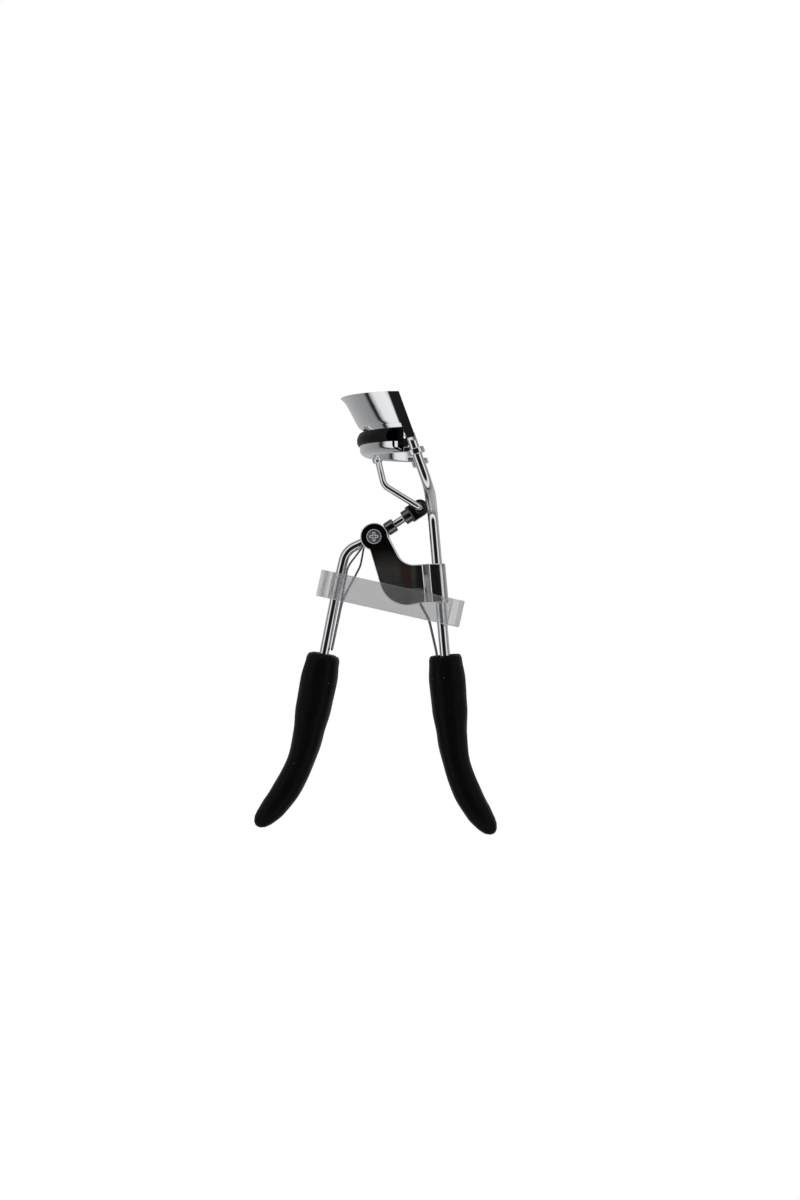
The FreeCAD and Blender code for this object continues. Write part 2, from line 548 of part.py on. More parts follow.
def write(nodes):
    """Moves the curler so that its box stands centred over the origin, and writes each node."""
    box = Part.makeCompound(list(nodes.values())).optimalBoundingBox(True, False)
    shift = V(-box.Center.x, -box.Center.y, -box.ZMin)
    os.makedirs("parts", exist_ok=True)
    for name, shape in nodes.items():
        moved = shape.translated(shift)
        moved.exportStep("parts/" + name + ".step")
        print(name, len(moved.Solids), moved.isValid(), round(moved.Volume, 2))
    pivot = PIVOT + shift
    hook = HOOK + shift
    print("pivot", round(pivot.x, 4), round(pivot.z, 4), "hook", round(hook.x, 4), round(hook.z, 4))
    print("shift", round(shift.x, 4), round(shift.y, 4), round(shift.z, 4))
    print("box", [round(v, 2) for v in (box.XLength, box.YLength, box.ZLength)])


write(build())
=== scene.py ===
import json
import math

import bmesh
import bpy
from mathutils import Matrix, Vector


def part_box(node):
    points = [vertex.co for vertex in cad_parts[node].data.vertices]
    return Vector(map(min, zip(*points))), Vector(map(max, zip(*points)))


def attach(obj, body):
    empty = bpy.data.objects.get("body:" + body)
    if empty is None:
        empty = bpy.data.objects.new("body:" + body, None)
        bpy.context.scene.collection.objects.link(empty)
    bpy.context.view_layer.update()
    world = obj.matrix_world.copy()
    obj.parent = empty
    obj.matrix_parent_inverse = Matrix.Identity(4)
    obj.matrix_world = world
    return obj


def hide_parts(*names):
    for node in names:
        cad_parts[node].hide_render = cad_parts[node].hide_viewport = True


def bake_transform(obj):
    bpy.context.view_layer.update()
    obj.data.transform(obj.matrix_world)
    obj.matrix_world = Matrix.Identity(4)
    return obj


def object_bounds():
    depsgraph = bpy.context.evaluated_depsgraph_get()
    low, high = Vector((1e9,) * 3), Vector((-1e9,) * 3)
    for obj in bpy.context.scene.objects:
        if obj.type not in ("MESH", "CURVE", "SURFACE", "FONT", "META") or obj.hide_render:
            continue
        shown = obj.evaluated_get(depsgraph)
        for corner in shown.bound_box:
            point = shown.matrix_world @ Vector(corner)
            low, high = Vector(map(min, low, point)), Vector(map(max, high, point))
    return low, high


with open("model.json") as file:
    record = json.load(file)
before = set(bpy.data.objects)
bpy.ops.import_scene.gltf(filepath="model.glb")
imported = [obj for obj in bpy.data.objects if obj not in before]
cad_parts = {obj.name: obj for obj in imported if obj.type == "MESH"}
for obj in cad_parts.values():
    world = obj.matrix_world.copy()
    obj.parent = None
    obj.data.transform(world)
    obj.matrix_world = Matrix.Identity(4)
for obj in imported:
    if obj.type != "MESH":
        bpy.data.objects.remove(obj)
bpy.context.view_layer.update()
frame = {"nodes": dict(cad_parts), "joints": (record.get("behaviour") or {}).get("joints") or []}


# ---- Side rods ----
# Two steel wires of 2.4 mm, bent inwards at the shoulders and chromed. Their upper ends are filed
# flat for the cheeks' tabs, and their lower ends are pressed into the fixed grip.
MM = 0.001
hinge = next(joint for joint in frame["joints"] if joint["name"] == "lever_pivot")
pivot = Vector(hinge["pos_m"])


def at(x, y, z):
    """A point so many millimetres from the pivot screw's axis, with -Y towards the front."""
    return pivot + Vector((x, y, z)) * MM


def shader(name, colour, metallic=0.0, roughness=0.5, **sockets):
    """A new material with its shader's own sockets set, and the tools to add detail to it."""
    material = bpy.data.materials.new(name)
    material.use_nodes = True
    tree = material.node_tree
    surface = tree.nodes["Principled BSDF"]
    surface.inputs["Base Color"].default_value = (*colour, 1)
    surface.inputs["Metallic"].default_value = metallic
    surface.inputs["Roughness"].default_value = roughness
    for socket, value in sockets.items():
        surface.inputs[socket.replace("_", " ")].default_value = value
    return material, tree, surface


def noise(tree, scale, detail=3.0, stretch=(1, 1, 1)):
    """Noise on the object's own coordinates; scale is in waves per metre."""
    place = tree.nodes.new("ShaderNodeTexCoord")
    mapping = tree.nodes.new("ShaderNodeMapping")
    mapping.inputs["Scale"].default_value = stretch
    texture = tree.nodes.new("ShaderNodeTexNoise")
    texture.inputs["Scale"].default_value = scale
    texture.inputs["Detail"].default_value = detail
    tree.links.new(place.outputs["Object"], mapping.inputs["Vector"])
    tree.links.new(mapping.outputs["Vector"], texture.inputs["Vector"])
    return texture.outputs["Fac"]


def between(tree, factor, low, high, start=0.35, stop=0.65):
    """Turns a factor into a value from low to high."""
    span = tree.nodes.new("ShaderNodeMapRange")
    span.inputs["From Min"].default_value = start
    span.inputs["From Max"].default_value = stop
    span.inputs["To Min"].default_value = low
    span.inputs["To Max"].default_value = high
    tree.links.new(factor, span.inputs["Value"])
    return span.outputs["Result"]


def relief(tree, surface, height, distance, strength=1.0):
    """Adds a fine relief of the given depth in metres."""
    bump = tree.nodes.new("ShaderNodeBump")
    bump.inputs["Distance"].default_value = distance
    bump.inputs["Strength"].default_value = strength
    tree.links.new(height, bump.inputs["Height"])
    earlier = surface.inputs["Normal"].links
    if earlier:
        tree.links.new(earlier[0].from_socket, bump.inputs["Normal"])
    tree.links.new(bump.outputs["Normal"], surface.inputs["Normal"])


def chrome(name, colour, low, high):
    """Bright plating: uneven gloss, faint ripples of the wire or sheet, and hairline wear."""
    material, tree, surface = shader(name, colour, 1.0, low)
    cloud = noise(tree, 260, 4)
    tree.links.new(between(tree, cloud, low, high), surface.inputs["Roughness"])
    relief(tree, surface, noise(tree, 420, 2), 0.000012)
    hairs = noise(tree, 900, 5, (1, 7, 0.25))
    relief(tree, surface, hairs, 0.000002, 0.5)
    return material


wire_chrome = chrome("wire_chrome", (0.80, 0.81, 0.83), 0.03, 0.10)


def finished(name, bm, material, body, nodes, smooth=40):
    """Makes a piece of the mesh, gives it its material, and sets it on its CAD body."""
    bmesh.ops.recalc_face_normals(bm, faces=bm.faces)
    mesh = bpy.data.meshes.new(name)
    bm.to_mesh(mesh)
    bm.free()
    mesh.materials.append(material)
    mesh.shade_smooth()
    mesh.set_sharp_from_angle(angle=math.radians(smooth))
    piece = bpy.data.objects.new(name, mesh)
    bpy.context.scene.collection.objects.link(piece)
    if body:
        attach(piece, body)
    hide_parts(*nodes)
    return piece


def edges_of(made, key="geom"):
    return [g for g in made[key] if isinstance(g, bmesh.types.BMEdge)]


def run(bm, rim, move, cuts):
    """Draws the wire straight on by a vector, in equal steps."""
    for _ in range(cuts):
        rim = edges_of(bmesh.ops.extrude_edge_only(bm, edges=rim))
        verts = {v for e in rim for v in e.verts}
        bmesh.ops.translate(bm, verts=list(verts), vec=move / cuts)
    return rim


def bend(bm, rim, corner, back, ahead, radius):
    """Bends the wire round a former at a corner; back and ahead point away from it."""
    half = back.angle(ahead) / 2
    centre = corner + (back + ahead).normalized() * (radius / math.sin(half))
    turn = math.pi - 2 * half
    steps = max(4, round(math.degrees(turn) / 6))
    made = bmesh.ops.spin(bm, geom=rim, cent=centre, axis=ahead.cross(back), angle=turn,
                          steps=steps)
    return edges_of(made, "geom_last")


def bent_wire(bm, radius, points, bends, sides=32):
    """A closed round wire through the points, with rounded ends."""
    along = (points[1] - points[0]).normalized()
    ring = bmesh.ops.create_circle(bm, segments=sides, radius=radius)["verts"]
    turn = Vector((0, 0, 1)).rotation_difference(along).to_matrix()
    bmesh.ops.rotate(bm, verts=ring, cent=(0, 0, 0), matrix=turn)
    bmesh.ops.translate(bm, verts=ring, vec=points[0])
    rim = list({e for v in ring for e in v.link_edges})
    first = rim
    here = points[0]
    for before, corner, after, size in zip(points, points[1:], points[2:], bends):
        back = (before - corner).normalized()
        ahead = (after - corner).normalized()
        reach = size / math.tan(back.angle(ahead) / 2)
        rim = run(bm, rim, corner + back * reach - here, 4)
        rim = bend(bm, rim, corner, back, ahead, size)
        here = corner + ahead * reach
    rim = run(bm, rim, points[-1] - here, 4)
    caps = bmesh.ops.holes_fill(bm, edges=first + rim)["faces"]
    edges = list({e for f in caps for e in f.edges})
    bmesh.ops.bevel(bm, geom=edges, offset=radius * 0.3, segments=3, profile=0.5,
                    affect="EDGES", material=-1)


rod = 1.2 * MM
head_lean = math.radians(20)
stem_lean = math.radians(5)
head_y = 15.6
stem_y = 3.8
shoulder = 4.5 * MM
rod_top_z, shoulder_top_z, shoulder_foot_z, rod_foot_z = 23.9, 12.0, 6.1, -42.0
beside_jaw_x, beside_jaw_z = 10.6, 19.6
grip_top_x, grip_top_z = 17.2, -28.9
lap_z = 22.2
cheek_inside = 15.0 * MM


def head_x(z):
    """Where a side rod's upper part is, z millimetres above the pivot."""
    return beside_jaw_x - (z - beside_jaw_z) * math.tan(head_lean)


def stem_x(z):
    """Where a side rod's lower part is, z millimetres above the pivot."""
    return grip_top_x - (z - grip_top_z) * math.tan(stem_lean)


for side, name in ((-1, "front"), (1, "rear")):
    bm = bmesh.new()
    route = [at(head_x(z), side * head_y, z) for z in (rod_top_z, shoulder_top_z)]
    route += [at(stem_x(z), side * stem_y, z) for z in (shoulder_foot_z, rod_foot_z)]
    bent_wire(bm, rod, route, (shoulder, shoulder))
    lap = at(0, 0, lap_z)
    everything = bm.verts[:] + bm.edges[:] + bm.faces[:]
    bmesh.ops.bisect_plane(bm, geom=everything, plane_co=lap, plane_no=(0, 0, 1), dist=1e-7)
    for vert in bm.verts:
        if vert.co.z > lap.z + 1e-6 and abs(vert.co.y) > cheek_inside:
            vert.co.y = side * cheek_inside
    finished(f"side_rod_{name}", bm, wire_chrome, "frame", [f"guide_rod_{name}"])


# ---- Upper jaw ----
# A plate of 0.75 mm sheet, pressed to a curve with a curled-in lower edge and a flared lip, and
# chromed. Each end is folded into a flat cheek that leans with the rods and tapers to a tab.
plate_chrome = chrome("plate_chrome", (0.84, 0.85, 0.86), 0.03, 0.09)

sheet = 0.75
fold_y = 15.75
cheek_width = 2.3
tab_width = 1.5
lip_z = 33.9
# Height and x of the plate's outer face at its middle, from the lower edge to past the lip.
plate_levels = ((26.4, -3.4), (26.75, -3.9), (27.3, -4.3), (28.3, -4.85), (29.4, -5.4),
                (30.5, -5.98), (31.6, -6.55), (32.5, -7.1), (33.1, -7.55), (33.6, -8.05),
                (lip_z, -8.4), (34.3, -8.85))
bm = bmesh.new()
low_z, tip_x = plate_levels[0]
fold_x = head_x(low_z) - cheek_width / 2
depth = fold_x - tip_x
curve_r = (fold_y ** 2 + depth ** 2) / (2 * depth)
half_turn = math.asin(fold_y / curve_r)
start = bmesh.ops.create_vert(bm, co=at(fold_x, -fold_y, low_z))["vert"]
bmesh.ops.spin(bm, geom=start, cent=at(tip_x + curve_r, 0, low_z), axis=(0, 0, 1),
               angle=-2 * half_turn, steps=72)
ends = [v for v in bm.verts if len(v.link_edges) == 1]
for end in ends:
    out = bmesh.ops.extrude_vert_indiv(bm, verts=[end])
    bmesh.ops.translate(bm, verts=out["verts"], vec=(cheek_width * MM, 0, 0))
foot = bm.edges[:]
rim = foot
last_z, last_x = low_z, tip_x
for z, x in plate_levels[1:]:
    rim = edges_of(bmesh.ops.extrude_edge_only(bm, edges=rim))
    verts = list({v for e in rim for v in e.verts})
    was = at(head_x(last_z) - cheek_width / 2, 0, last_z)
    now = at(head_x(z) - cheek_width / 2, 0, z)
    deeper = (now.x - at(x, 0, 0).x) / (was.x - at(last_x, 0, 0).x)
    curved = [v for v in verts if v.co.x < was.x - 1e-6]
    bmesh.ops.scale(bm, verts=curved, vec=(deeper, 1, 1), space=Matrix.Translation(-was))
    bmesh.ops.translate(bm, verts=verts, vec=now - was)
    last_z, last_x = z, x
rim = [e for e in foot if all(v.co.x > at(fold_x, 0, 0).x - 1e-6 for v in e.verts)]
for z, width in ((25.2, cheek_width), (24.1, cheek_width), (lap_z, tab_width)):
    rim = edges_of(bmesh.ops.extrude_edge_only(bm, edges=rim))
    for edge in rim:
        middle = at(head_x(z), 0, z)
        y = edge.verts[0].co.y
        for vert in edge.verts:
            right = vert.co.x > (edge.verts[0].co.x + edge.verts[1].co.x) / 2
            vert.co = (middle.x + (width / 2 if right else -width / 2) * MM, y, middle.z)
bmesh.ops.recalc_face_normals(bm, faces=bm.faces)
if min(bm.faces, key=lambda f: f.calc_center_median().x).normal.x > 0:
    bmesh.ops.reverse_faces(bm, faces=bm.faces)
bmesh.ops.solidify(bm, geom=bm.faces[:], thickness=sheet * MM)
everything = bm.verts[:] + bm.edges[:] + bm.faces[:]
cut = bmesh.ops.bisect_plane(bm, geom=everything, plane_co=at(0, 0, lip_z), plane_no=(0, 0, 1),
                             clear_outer=True, dist=1e-7)
bmesh.ops.triangle_fill(bm, edges=edges_of(cut, "geom_cut"), use_beauty=True)
plate = finished("upper_jaw", bm, plate_chrome, "frame", ["upper_jaw_plate"], smooth=35)
rounding = plate.modifiers.new("edges", "BEVEL")
rounding.width = 0.1 * MM
rounding.segments = 2
rounding.angle_limit = math.radians(50)


# ---- Lower jaw channel ----
# A curved channel pressed from 0.6 mm sheet, open at the top, with a rounded lower edge. It is
# chromed, and brazed to the two guides and to the push rod's ferrule.
channel_chrome = chrome("channel_chrome", (0.82, 0.83, 0.85), 0.04, 0.12)

jaw_centre_x = 13.0
jaw_half_y = 14.6
jaw_end_x = 7.6


def swept_round_jaw(outline, corners, rounding):
    """Sweeps a closed outline of radius, height points round the jaw's curve and trims its ends."""
    bm = bmesh.new()
    points = [bmesh.ops.create_vert(bm, co=at(jaw_centre_x - r, 0, z))["vert"][0]
              for r, z in outline]
    loop = [bm.edges.new((a, b)) for a, b in zip(points, points[1:] + points[:1])]
    bmesh.ops.bevel(bm, geom=[points[i] for i in corners], offset=rounding * MM, segments=4,
                    profile=0.5, affect="VERTICES", material=-1)
    centre = at(jaw_centre_x, 0, 0)
    half_sweep = math.radians(75)
    bmesh.ops.rotate(bm, verts=bm.verts, cent=centre, matrix=Matrix.Rotation(-half_sweep, 3, "Z"))
    bmesh.ops.spin(bm, geom=bm.edges[:], cent=centre, axis=(0, 0, 1), angle=2 * half_sweep,
                   steps=90)
    for place, way in ((at(0, -jaw_half_y, 0), (0, -1, 0)), (at(0, jaw_half_y, 0), (0, 1, 0)),
                       (at(jaw_end_x, 0, 0), (1, 0, 0))):
        geometry = bm.verts[:] + bm.edges[:] + bm.faces[:]
        cut = bmesh.ops.bisect_plane(bm, geom=geometry, plane_co=place, plane_no=way,
                                     clear_outer=True, dist=1e-7)
        open_edges = [e for e in edges_of(cut, "geom_cut") if e.is_boundary]
        bmesh.ops.triangle_fill(bm, edges=open_edges, use_beauty=True)
    return bm


channel = swept_round_jaw(
    [(16.7, 22.2), (16.65, 20.6), (15.6, 19.6), (13.9, 19.6), (13.9, 22.2), (14.5, 22.2),
     (14.5, 20.2), (15.7, 20.2), (16.1, 20.8), (16.1, 22.2)], (2, 1, 3), 0.55)
finished("lower_jaw_channel", channel, channel_chrome, "jaw", ["pad_carrier"], smooth=30)


# ---- Pad ----
# Black silicone, moulded with a foot that is pressed into the channel and a wider head. A shallow
# crease runs along the head where the plate's edge meets it.
pad_material, tree, surface = shader("pad_silicone", (0.006, 0.006, 0.007), 0.0, 0.42,
                                     Specular_IOR_Level=0.10)
mottle = noise(tree, 700, 5)
tree.links.new(between(tree, mottle, 0.34, 0.5), surface.inputs["Roughness"])
relief(tree, surface, noise(tree, 5200, 3), 0.000006)
relief(tree, surface, mottle, 0.00003, 0.4)

pad = swept_round_jaw(
    [(16.05, 22.25), (17.1, 22.25), (17.4, 22.9), (17.4, 24.0), (16.9, 25.1), (16.5, 25.45),
     (16.15, 25.1), (15.8, 25.5), (15.0, 25.7), (14.4, 25.5), (14.2, 24.9), (14.2, 22.6),
     (14.55, 22.25), (14.55, 20.25), (15.65, 20.25), (16.05, 20.85)], range(1, 12), 0.22)
pad = finished("silicone_pad_head", pad, pad_material, "jaw", ["silicone_pad"], 50)


# ---- Small turned and drilled metal ----
# Guides, ferrule, keeper, screw, nut and washers: plated steel, with the sharp edges broken as
# tumbling leaves them. The guides and the ferrule are brazed on, and the nut holds the screw.
def broken_edges(node, name, material, body, width):
    """A copy of a CAD node with its facets merged and its sharp edges rounded."""
    bm = bmesh.new()
    bm.from_mesh(frame["nodes"][node].data)
    bmesh.ops.remove_doubles(bm, verts=bm.verts, dist=0.03 * MM)
    bmesh.ops.dissolve_limit(bm, angle_limit=math.radians(0.6), verts=bm.verts, edges=bm.edges)
    piece = finished(name, bm, material, body, [node], 32)
    edge = piece.modifiers.new("edges", "BEVEL")
    edge.width = width * MM
    edge.use_clamp_overlap = False
    edge.segments = 3
    edge.limit_method = "ANGLE"
    edge.angle_limit = math.radians(38)
    return piece


def second_material(piece, material, where):
    """Gives the faces whose centres pass the test another material."""
    piece.data.materials.append(material)
    for face in piece.data.polygons:
        if where(face.center):
            face.material_index = 1


dark_chrome = chrome("dark_chrome", (0.20, 0.18, 0.17), 0.06, 0.16)
small_chrome = chrome("small_chrome", (0.80, 0.80, 0.82), 0.05, 0.14)
for node in ("guide_front", "guide_rear", "push_rod_ferrule", "link_keeper"):
    broken_edges(node, f"{node}_plated", small_chrome, "jaw", 0.12)
for node in ("pivot_nut", "washer_front", "washer_rear"):
    broken_edges(node, f"{node}_plated", small_chrome, "frame", 0.1)

screw_chrome = chrome("head_chrome", (0.84, 0.85, 0.88), 0.24, 0.38)
broken_edges("pivot_screw", "pivot_screw_plated", screw_chrome, "frame", 0.14)


# ---- Bracket ----
# One sheet of 0.75 mm steel, folded round both side rods and jogged inwards to the pivot plates.
# The sheet's plating is darker, with a faint warm tint left by the heat of brazing near the fold.
def mixed(tree, factor, under, over):
    """Two colours mixed by a factor; each is a colour or another node's output."""
    mix = tree.nodes.new("ShaderNodeMix")
    mix.data_type = "RGBA"
    for socket, colour in (("A", under), ("B", over)):
        if isinstance(colour, bpy.types.NodeSocket):
            tree.links.new(colour, mix.inputs[socket])
        else:
            mix.inputs[socket].default_value = (*colour, 1)
    tree.links.new(factor, mix.inputs["Factor"])
    return mix.outputs["Result"]


bracket_material, tree, surface = shader("bracket_chrome", (0.5, 0.48, 0.47), 0.8, 0.08)
tint = tree.nodes.new("ShaderNodeValToRGB")
for element, stop, colour in zip(tint.color_ramp.elements, (0.42, 0.66),
                                 ((0.21, 0.20, 0.185, 1), (0.22, 0.07, 0.035, 1))):
    element.position = stop
    element.color = colour
middle_stop = tint.color_ramp.elements.new(0.52)
middle_stop.color = (0.15, 0.13, 0.115, 1)
tree.links.new(noise(tree, 110, 2, (2.4, 1, 0.6)), tint.inputs["Fac"])
place = tree.nodes.new("ShaderNodeTexCoord")
axes = tree.nodes.new("ShaderNodeSeparateXYZ")
tree.links.new(place.outputs["Object"], axes.inputs["Vector"])
# Painted shade: above a height just under the pivot, the base colour is mixed to almost black round
# the boss.
shade_near_boss = between(tree, axes.outputs["Z"], 0.0, 1.0, pivot.z - 8 * MM, pivot.z - 3 * MM)
near_fold = between(tree, axes.outputs["X"], 0.0, 1.0, pivot.x + 9 * MM, pivot.x + 10.5 * MM)
tree.links.new(between(tree, near_fold, 0.8, 1.0, 0.0, 1.0), surface.inputs["Metallic"])
bright_fold = mixed(tree, near_fold, tint.outputs["Color"], (0.66, 0.65, 0.65))
painted_shade_boss = mixed(tree, shade_near_boss, bright_fold, (0.02, 0.015, 0.014))
tree.links.new(painted_shade_boss, surface.inputs["Base Color"])
tree.links.new(between(tree, noise(tree, 300, 4), 0.06, 0.16), surface.inputs["Roughness"])
relief(tree, surface, noise(tree, 160, 2), 0.00005)
relief(tree, surface, noise(tree, 1400, 4, (1, 6, 0.3)), 0.000002, 0.5)
sheet_metal = broken_edges("bracket", "bracket_folded", bracket_material, "frame", 0.22)
# The bevelled rim gets the bright wire chrome while the faces keep the darker bracket colour: a
# painted highlight along the sheet's edges.
sheet_metal.data.materials.append(wire_chrome)
sheet_metal.modifiers["edges"].material = 1


# ---- Lever ----
# Hub, neck and flat eye are one steel piece; the thick part and the crimped collar get a darker
# metal colour than the neck, which gets the bright wire chrome. The handle rod is pressed into the
# hub and into its grip.
lever_material, tree, surface = shader("lever_steel", (0.17, 0.16, 0.155), 1.0, 0.2)
tree.links.new(between(tree, noise(tree, 800, 4), 0.10, 0.3), surface.inputs["Roughness"])
relief(tree, surface, noise(tree, 1600, 4), 0.000012)
lever = broken_edges("lever_arm", "lever_arm_plated", lever_material, "lever", 0.2)
arm_lean = math.radians(33)
neck_foot, neck_top = 5.9 * MM, 8.3 * MM
along_arm = Vector((math.cos(arm_lean), 0, math.sin(arm_lean)))
second_material(lever, wire_chrome, lambda c: neck_foot < (c - pivot).dot(along_arm) < neck_top)
broken_edges("lever_collar", "lever_collar_crimped", dark_chrome, "lever", 0.3)

bm = bmesh.new()
route = [at(x, 0, z) for x, z in ((-1.35, -0.6), (-7.2, -3.3), (-9.3, -12.2), (-15.26, -42.4))]
bent_wire(bm, rod, route, (5.0 * MM, 30.0 * MM))
finished("handle_rod_wire", bm, wire_chrome, "lever", ["handle_rod"])


# ---- Push rod ----
# A wire of 1.6 mm, brazed into the ferrule under the channel, bent at the knee and hooked sideways
# through the lever's eye, where a push-on ring keeps it.
bm = bmesh.new()
link_y = -1.6
arm_length = 13.2
push_wire = 0.8 * MM
hook_x = arm_length * math.cos(arm_lean)
hook_z = arm_length * math.sin(arm_lean)
bent_wire(bm, push_wire, [at(0.6, 0, 19.5), at(2.3, link_y, 12.6), at(hook_x, link_y, hook_z),
                          at(hook_x, 1.8, hook_z)], (3.0 * MM, 0.92 * MM))
finished("push_rod_wire", bm, wire_chrome, "jaw", ["push_rod"])


# ---- Grips ----
# Black satin plastic, moulded over the ends of the rods. Each is a soft oval that curls outwards
# below, with a fine parting ridge and a shallow dish in its rounded top.
grip_black = (0.003, 0.003, 0.0035)
grip_material, tree, surface = shader("grip_plastic", grip_black, 0.0, 0.42,
                                      Specular_IOR_Level=0.07)
tree.links.new(between(tree, noise(tree, 240, 4), 0.36, 0.52), surface.inputs["Roughness"])
relief(tree, surface, noise(tree, 3600, 4), 0.000014)
relief(tree, surface, noise(tree, 300, 2), 0.00006, 0.35)
dust = between(tree, noise(tree, 1500, 2), 0.0, 1.0, 0.765, 0.79)
tree.links.new(mixed(tree, dust, grip_black, (0.32, 0.31, 0.3)), surface.inputs["Base Color"])

grip_straight = 20.0
grip_curve = 40.0
grip_ridge = 0.016
# Distance from the top, half width and half depth.
grip_widths = ((0.0, 3.55, 5.1), (0.35, 3.85, 5.4), (1.0, 4.05, 5.6), (6.0, 4.5, 5.8),
               (13.0, 4.35, 5.7), (20.0, 3.7, 5.3), (27.0, 3.3, 5.0), (34.0, 3.4, 4.9),
               (40.0, 3.1, 4.4), (43.0, 2.6, 3.8), (44.8, 1.95, 3.0), (45.8, 1.15, 1.9),
               (46.2, 0.4, 0.7))
grip_reaches = ([0, 0.35, 0.7, 1.0] + [1.0 + 1.3 * i for i in range(1, 33)]
                + [43.4, 44.2, 44.8, 45.3, 45.8, 46.05, 46.2])


def grip_half(reach):
    """Half width and half depth at a distance from the grip's top, eased between its sections."""
    for (a, wide_a, deep_a), (b, wide_b, deep_b) in zip(grip_widths, grip_widths[1:]):
        if reach <= b:
            share = (reach - a) / (b - a)
            if b - a > 2:
                share = share * share * (3 - 2 * share)
            return wide_a + (wide_b - wide_a) * share, deep_a + (deep_b - deep_a) * share
    return grip_widths[-1][1:]


def grip_piece(name, top, down, outward, body, node):
    """One grip: a ring drawn down the grip's line, turned and resized at each step."""
    bm = bmesh.new()
    ring = bmesh.ops.create_circle(bm, segments=72, radius=1.0)["verts"]
    for vert in ring:
        angle = math.atan2(vert.co.y, vert.co.x)
        oval = (abs(math.cos(angle)) ** 2.4 + abs(math.sin(angle)) ** 2.4) ** (-1 / 2.4)
        ridge = sum(math.exp(-((abs(angle) - where) / 0.05) ** 2) for where in (0.95, 1.01))
        vert.co *= oval * (1 + grip_ridge * ridge)
    loops = [[(v, v.co.x, v.co.y) for v in ring]]
    top_face = bmesh.ops.contextual_create(bm, geom=ring)["faces"][0]
    rim = list(top_face.edges)
    for _ in grip_reaches[1:]:
        rim = edges_of(bmesh.ops.extrude_edge_only(bm, edges=rim))
        fresh = {v for e in rim for v in e.verts}
        below = []
        for v, x, y in loops[-1]:
            partner = next(e.other_vert(v) for e in v.link_edges if e.other_vert(v) in fresh)
            below.append((partner, x, y))
        loops.append(below)
    for reach, loop in zip(grip_reaches, loops):
        turn = max(0.0, reach - grip_straight) / grip_curve
        along = min(reach, grip_straight) + grip_curve * math.sin(turn)
        aside = grip_curve * (1 - math.cos(turn))
        centre = top + (down * along + outward * aside) * MM
        across = outward * math.cos(turn) - down * math.sin(turn)
        half, deep = grip_half(reach)
        for vert, x, y in loop:
            vert.co = centre + across * (half * x * MM) + Vector((0, deep * y * MM, 0))
    bmesh.ops.holes_fill(bm, edges=rim)
    bmesh.ops.inset_region(bm, faces=[top_face], thickness=0.5 * MM, depth=0.0)
    bmesh.ops.inset_region(bm, faces=[top_face], thickness=0.15 * MM, depth=-0.25 * MM)
    return finished(name, bm, grip_material, body, [node], 50)


stem_down = Vector((math.sin(stem_lean), 0, -math.cos(stem_lean)))
grip_piece("fixed_grip_moulding", at(grip_top_x, 0, grip_top_z), stem_down,
           Vector((-stem_down.z, 0, stem_down.x)), "frame", "fixed_grip")
handle_down = Vector((-3.3, 0, -16.7)).normalized()
grip_piece("moving_grip_moulding", at(-12.6, 0, grip_top_z), handle_down,
           Vector((handle_down.z, 0, -handle_down.x)), "lever", "moving_grip")


# ---- Return spring ----
# One spring wire of 0.5 mm: two turns on each side of the hub, two legs tucked into the fixed grip,
# and two legs that join behind the handle rod. It is oiled spring steel, darker than the plating.
spring_material, tree, surface = shader("spring_steel_wire", (0.30, 0.30, 0.31), 1.0, 0.25)
tree.links.new(between(tree, noise(tree, 1800, 3), 0.18, 0.34), surface.inputs["Roughness"])
relief(tree, surface, noise(tree, 2600, 4, (1, 1, 0.2)), 0.000004)

wire = 0.25 * MM
wire_sides = 12
coil = 2.4 * MM
outer_y, inner_y = 2.4, 1.6
leave = math.radians(218)
wound = math.radians(720 - 38)
for side, name, legs, sizes in (
        (-1, "front", ((-3.3, -2.9), (-6.6, -7.2), (-8.1, -15.4)), (2.0, 6.0, 12.0)),
        (1, "rear", ((-3.7, -7.0), (-8.1, -15.4)), (6.0, 12.0))):
    bm = bmesh.new()
    start = at(0, side * outer_y, 0) + Vector((math.cos(leave), 0, math.sin(leave))) * coil
    leg = [at(x, side * outer_y, z) for x, z in ((15.1, -28.2), (13.3, -20.3), (9.6, -13.6))]
    foot = leg[0] + stem_down * 2.0 * MM
    bent_wire(bm, wire, [foot, *leg, start], (3.0 * MM, 8.0 * MM, 6.0 * MM), wire_sides)
    ring = bmesh.ops.create_circle(bm, segments=wire_sides, radius=wire)["verts"]
    tangent = Vector((-math.sin(leave), 0, math.cos(leave)))
    turn = Vector((0, 0, 1)).rotation_difference(tangent).to_matrix()
    bmesh.ops.rotate(bm, verts=ring, cent=(0, 0, 0), matrix=turn)
    bmesh.ops.translate(bm, verts=ring, vec=start)
    rim = list({e for v in ring for e in v.link_edges})
    steps = 96
    made = bmesh.ops.spin(bm, geom=rim, cent=pivot, axis=(0, -1, 0), angle=wound,
                          dvec=(0, side * (inner_y - outer_y) * MM / steps, 0), steps=steps)
    bmesh.ops.holes_fill(bm, edges=rim + edges_of(made, "geom_last"))
    low = at(-10.644, side * 0.7, -27.6)
    leg = [at(x, side * inner_y, z) for x, z in ((-2.4, 0), *legs)]
    bent_wire(bm, wire, [*leg, low, Vector((low.x, 0, low.z))],
              [size * MM for size in sizes] + [0.5 * MM], wire_sides)
    piece = finished(f"return_spring_{name}", bm, spring_material, None, ["return_spring"],
                     60)
    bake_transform(piece)


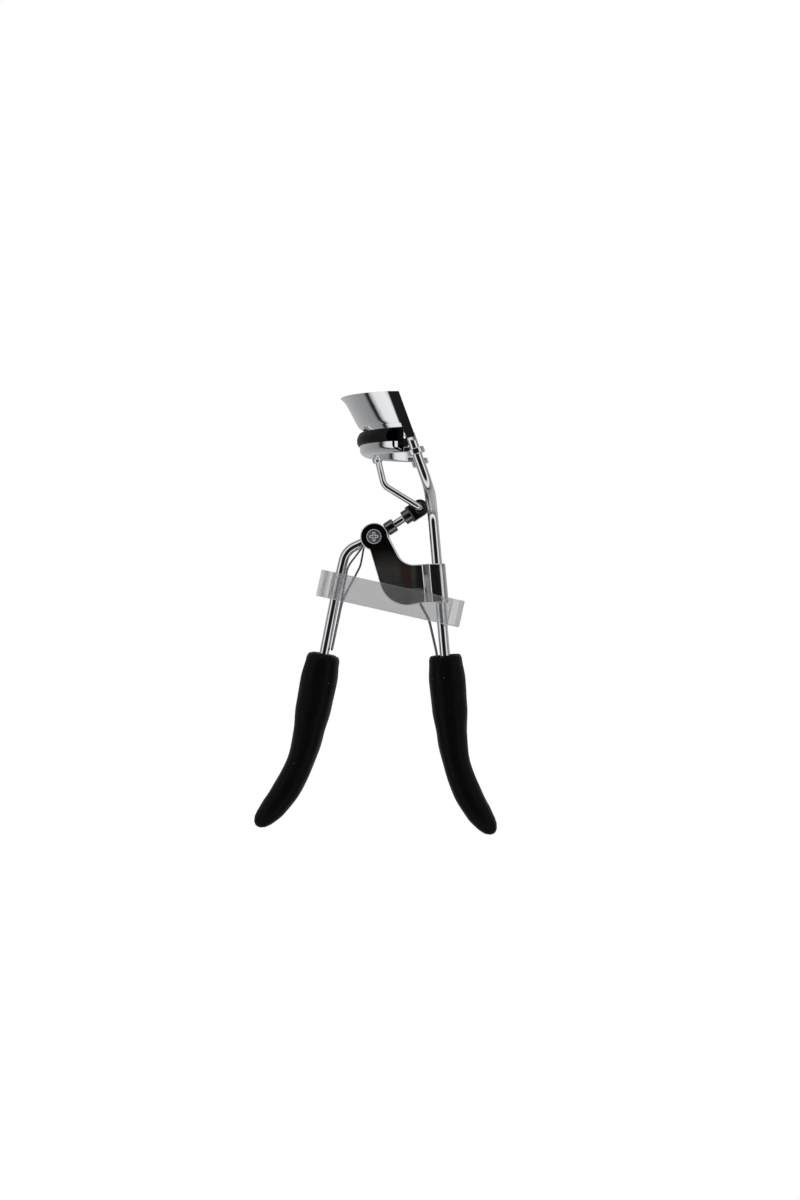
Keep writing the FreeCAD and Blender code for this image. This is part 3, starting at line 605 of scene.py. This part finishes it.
# ---- Retaining band ----
# A flat loop moulded in clear flexible plastic, slipped over both handles. The walls are
# glass-clear. The thick blocks at its ends, which the handles bear on, are slightly frosted.
band_material, tree, surface = shader("band_plastic", (0.90, 0.905, 0.91), 0.0, 0.06, IOR=1.36,
                                      Transmission_Weight=0.9, Alpha=0.62)
tree.links.new(between(tree, noise(tree, 420, 4), 0.03, 0.12), surface.inputs["Roughness"])
relief(tree, surface, noise(tree, 200, 2), 0.00002)
relief(tree, surface, noise(tree, 2400, 3), 0.000005)
block_material, tree, surface = shader("band_block", (0.74, 0.745, 0.75), 0.0, 0.35, IOR=1.4,
                                       Transmission_Weight=0.35, Alpha=0.9)
tree.links.new(between(tree, noise(tree, 500, 4), 0.25, 0.5), surface.inputs["Roughness"])
relief(tree, surface, noise(tree, 420, 3, (1, 1, 0.3)), 0.00012)
band = broken_edges("retaining_band", "retaining_band_moulding", band_material, None, 0.2)
band_tilt = math.radians(12.5)
band_along = Vector((math.cos(band_tilt), 0, -math.sin(band_tilt)))
band_middle = at(4.0, 0, -15.0)
half_wall = 14.6 * MM
second_material(band, block_material,
                lambda c: abs((c - band_middle).dot(band_along)) > half_wall)
low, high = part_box("retaining_band")
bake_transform(band)


# ---- Studio ----
# Plain white to the camera. What the plating mirrors is a light tent: dark behind the camera,
# bright panels beside it, then a dark gap, and grey from the sides round to the back.
def soft_light(name, place, aim, size, power):
    lamp = bpy.data.lights.new(name, "AREA")
    lamp.shape = "RECTANGLE"
    lamp.size, lamp.size_y = size
    lamp.energy = power
    holder = bpy.data.objects.new(name, lamp)
    holder.location = place
    holder.visible_glossy = False
    holder.rotation_euler = (Vector(aim) - Vector(place)).to_track_quat("-Z", "Y").to_euler()
    bpy.context.scene.collection.objects.link(holder)


low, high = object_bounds()
middle = (low + high) / 2
soft_light("left_soft", (-0.5, -0.22, 0.28), middle, (0.16, 0.5), 1.1)
soft_light("right_soft", (0.5, -0.12, 0.2), middle, (0.12, 0.5), 0.7)
soft_light("top_soft", (-0.05, -0.05, 0.6), middle, (0.35, 0.25), 1.0)

world = bpy.data.worlds.new("studio_world")
bpy.context.scene.world = world
world.use_nodes = True
tree = world.node_tree
tent = tree.nodes["Background"]
direction = tree.nodes.new("ShaderNodeTexCoord")
axes = tree.nodes.new("ShaderNodeSeparateXYZ")
tree.links.new(direction.outputs["Generated"], axes.inputs["Vector"])
depth = between(tree, axes.outputs["Y"], 0.0, 1.0, -1.0, 1.0)
panels = tree.nodes.new("ShaderNodeValToRGB")
levels = ((0.0, 0.012), (0.085, 0.015), (0.13, 0.55), (0.19, 0.95), (0.34, 0.88), (0.39, 0.5),
          (0.425, 0.02), (0.465, 0.03), (0.51, 0.28), (0.75, 0.36), (1.0, 0.5))
while len(panels.color_ramp.elements) < len(levels):
    panels.color_ramp.elements.new(0.5)
for element, (place, level) in zip(panels.color_ramp.elements, levels):
    element.position = place
    element.color = (level, level, level * 1.01, 1)
tree.links.new(depth, panels.inputs["Fac"])
tree.links.new(panels.outputs["Color"], tent.inputs["Color"])
paper = tree.nodes.new("ShaderNodeBackground")
paper.inputs["Color"].default_value = (1, 1, 1, 1)
eye = tree.nodes.new("ShaderNodeLightPath")
seen = tree.nodes.new("ShaderNodeMixShader")
tree.links.new(eye.outputs["Is Camera Ray"], seen.inputs["Fac"])
tree.links.new(tent.outputs["Background"], seen.inputs[1])
tree.links.new(paper.outputs["Background"], seen.inputs[2])
tree.links.new(seen.outputs["Shader"], tree.nodes["World Output"].inputs["Surface"])
bpy.context.scene.view_settings.view_transform = "Standard"


# ---- Camera ----
# Nearly level with the middle of the curler, a little to its right, and 400 mm away.
distance = 0.4
view_height = 0.2946
swing = math.radians(2.5)
target = at(6.14, 0, -15.4)
sensor = 24
camera_data = bpy.data.cameras.new("camera")
camera_data.sensor_fit = "VERTICAL"
camera_data.sensor_height = sensor
camera_data.lens = sensor * distance / view_height
camera = bpy.data.objects.new("camera", camera_data)
camera.location = target + Vector((math.sin(swing), -math.cos(swing), 0)) * distance
camera.rotation_euler = (math.radians(90), 0, swing)
bpy.context.scene.collection.objects.link(camera)
bpy.context.scene.camera = camera
